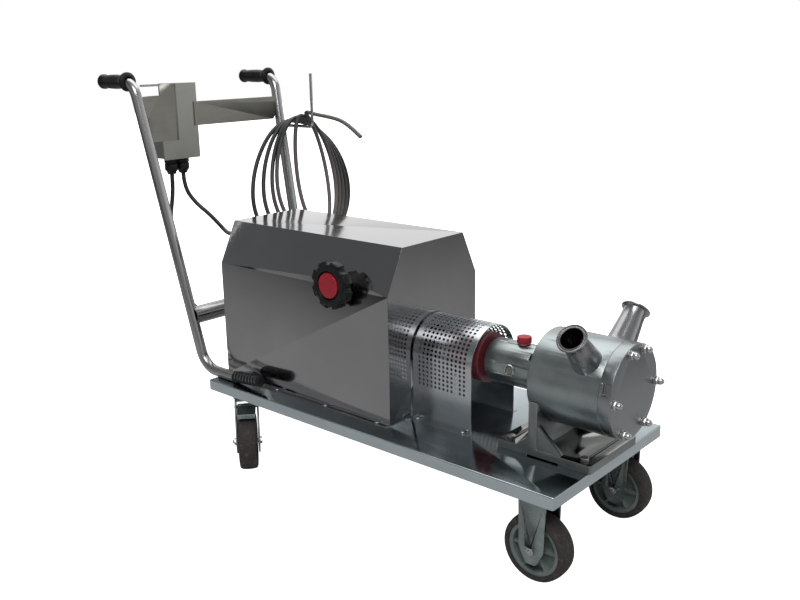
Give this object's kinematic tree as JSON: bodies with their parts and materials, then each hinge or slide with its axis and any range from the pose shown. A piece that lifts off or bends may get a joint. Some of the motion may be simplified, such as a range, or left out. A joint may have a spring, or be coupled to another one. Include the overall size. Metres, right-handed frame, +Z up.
{
  "type": "sine pump on trolley",
  "caption": "Sine pump with adjustable-speed drive under a steel hood on a push trolley, with perforated coupling guard, V ports and a coiled supply cable.",
  "frame": {"origin": "on the floor, under the middle of the bounding box measured without the cables", "axes": "+X forward to the pump's front cover, +Y to the left, +Z up"},
  "size_m": [1.5, 0.7173, 1.028],
  "materials": {
    "polished_steel": "polished",
    "satin_steel": "satin",
    "frame_steel": "satin",
    "tube_steel": "polished",
    "pump_steel": "satin",
    "zinc_steel": "zinc plated",
    "bolt_steel": "bright",
    "tyre": "matte",
    "wheel_plastic": "moulded",
    "black_plastic": "moulded",
    "red_plastic": "moulded",
    "motor_aluminium": "painted",
    "drive_housing": "painted",
    "box_steel": "brushed",
    "cable_black": "matte",
    "cable_grey": "matte",
    "sight_glass": "clear",
    "seal_rubber": "matte",
    "coupling_rubber": "matte",
    "coupling_iron": "machined",
    "liner_plastic": "machined",
    "bearing_steel": "ground"
  },
  "bodies": {
    "trolley": {"deck": "satin_steel", "deck_frame": "frame_steel", "deck_fasteners": "bolt_steel", "front_forks": "zinc_steel", "front_axles": "bolt_steel", "rear_top_plates": "zinc_steel", "handle_tube_left": "tube_steel", "handle_tube_right": "tube_steel", "handle_grips": "black_plastic", "cross_tube": "tube_steel", "cross_bar": "polished_steel", "control_box": "box_steel", "box_lid": "box_steel", "cable_glands": "black_plastic", "cable_hook": "bolt_steel", "hood": "polished_steel", "motor": "motor_aluminium", "variator": "drive_housing", "gear_reducer": "drive_housing", "coupling_guard": "polished_steel", "pump_foot": "pump_steel", "pump_bolts": "bolt_steel", "bearing_housing": "pump_steel", "shaft_bearings": "bearing_steel", "oil_cap": "red_plastic", "sight_glass": "sight_glass", "pump_body": "pump_steel", "front_cover": "pump_steel", "cover_nuts": "bolt_steel", "pump_seals": "seal_rubber", "rotor_liners": "liner_plastic", "gate": "liner_plastic", "motor_cable": "cable_black", "supply_lead": "cable_black", "cable_coil": "cable_black", "cable_tail": "cable_grey"},
    "pump_line": {"output_shaft": "bolt_steel", "coupling_hubs": "coupling_iron", "coupling_spider": "coupling_rubber", "pump_shaft": "bolt_steel", "rotor": "pump_steel", "shaft_seal": "bolt_steel"},
    "speed_wheel": {"handwheel": "black_plastic", "handwheel_cap": "red_plastic", "handwheel_spindle": "bolt_steel"},
    "switch": {"switch_knob": "black_plastic"},
    "front_roller_left": {"front_wheel_left": "wheel_plastic", "front_tyre_left": "tyre"},
    "front_roller_right": {"front_wheel_right": "wheel_plastic", "front_tyre_right": "tyre"},
    "rear_swivel_left": {"rear_fork_left": "zinc_steel", "rear_axle_left": "bolt_steel"},
    "rear_swivel_right": {"rear_fork_right": "zinc_steel", "rear_axle_right": "bolt_steel"},
    "rear_roller_left": {"rear_wheel_left": "wheel_plastic", "rear_tyre_left": "tyre"},
    "rear_roller_right": {"rear_wheel_right": "wheel_plastic", "rear_tyre_right": "tyre"},
    "brake_left": {"brake_pedal_left": "zinc_steel"},
    "brake_right": {"brake_pedal_right": "zinc_steel"}
  },
  "joints": [
    {"name": "pump_spin", "type": "hinge", "parent": "trolley", "child": "pump_line", "pos_m": [0.65601, 0, 0.387], "axis": [1, 0, 0], "continuous": true},
    {"name": "handwheel_turn", "type": "hinge", "parent": "trolley", "child": "speed_wheel", "pos_m": [0.05701, -0.208, 0.549], "axis": [0, 1, 0], "range_deg": [-720, 720]},
    {"name": "switch_turn", "type": "hinge", "parent": "trolley", "child": "switch", "pos_m": [-0.7, -0.119, 0.92495], "axis": [-1, 0, 0], "range_deg": [0, 90]},
    {"name": "front_wheel_left_spin", "type": "hinge", "parent": "trolley", "child": "front_roller_left", "pos_m": [0.61951, 0.1745, 0.075], "axis": [0, 1, 0], "continuous": true},
    {"name": "front_wheel_right_spin", "type": "hinge", "parent": "trolley", "child": "front_roller_right", "pos_m": [0.61951, -0.1745, 0.075], "axis": [0, 1, 0], "continuous": true},
    {"name": "rear_swivel_left_turn", "type": "hinge", "parent": "trolley", "child": "rear_swivel_left", "pos_m": [-0.30499, 0.1745, 0.19], "axis": [0, 0, 1], "continuous": true},
    {"name": "rear_swivel_right_turn", "type": "hinge", "parent": "trolley", "child": "rear_swivel_right", "pos_m": [-0.30499, -0.1745, 0.19], "axis": [0, 0, 1], "continuous": true},
    {"name": "rear_wheel_left_spin", "type": "hinge", "parent": "rear_swivel_left", "child": "rear_roller_left", "pos_m": [-0.26348, 0.21058, 0.075], "axis": [-0.6561, 0.7547, 0], "continuous": true},
    {"name": "rear_wheel_right_spin", "type": "hinge", "parent": "rear_swivel_right", "child": "rear_roller_right", "pos_m": [-0.26348, -0.21058, 0.075], "axis": [0.6561, 0.7547, 0], "continuous": true},
    {"name": "brake_left_press", "type": "hinge", "parent": "rear_swivel_left", "child": "brake_left", "pos_m": [-0.28216, 0.19435, 0.163], "axis": [-0.6561, 0.7547, 0], "range_deg": [0, 8]},
    {"name": "brake_right_press", "type": "hinge", "parent": "rear_swivel_right", "child": "brake_right", "pos_m": [-0.28216, -0.19435, 0.163], "axis": [0.6561, 0.7547, 0], "range_deg": [0, 8]}
  ]
}
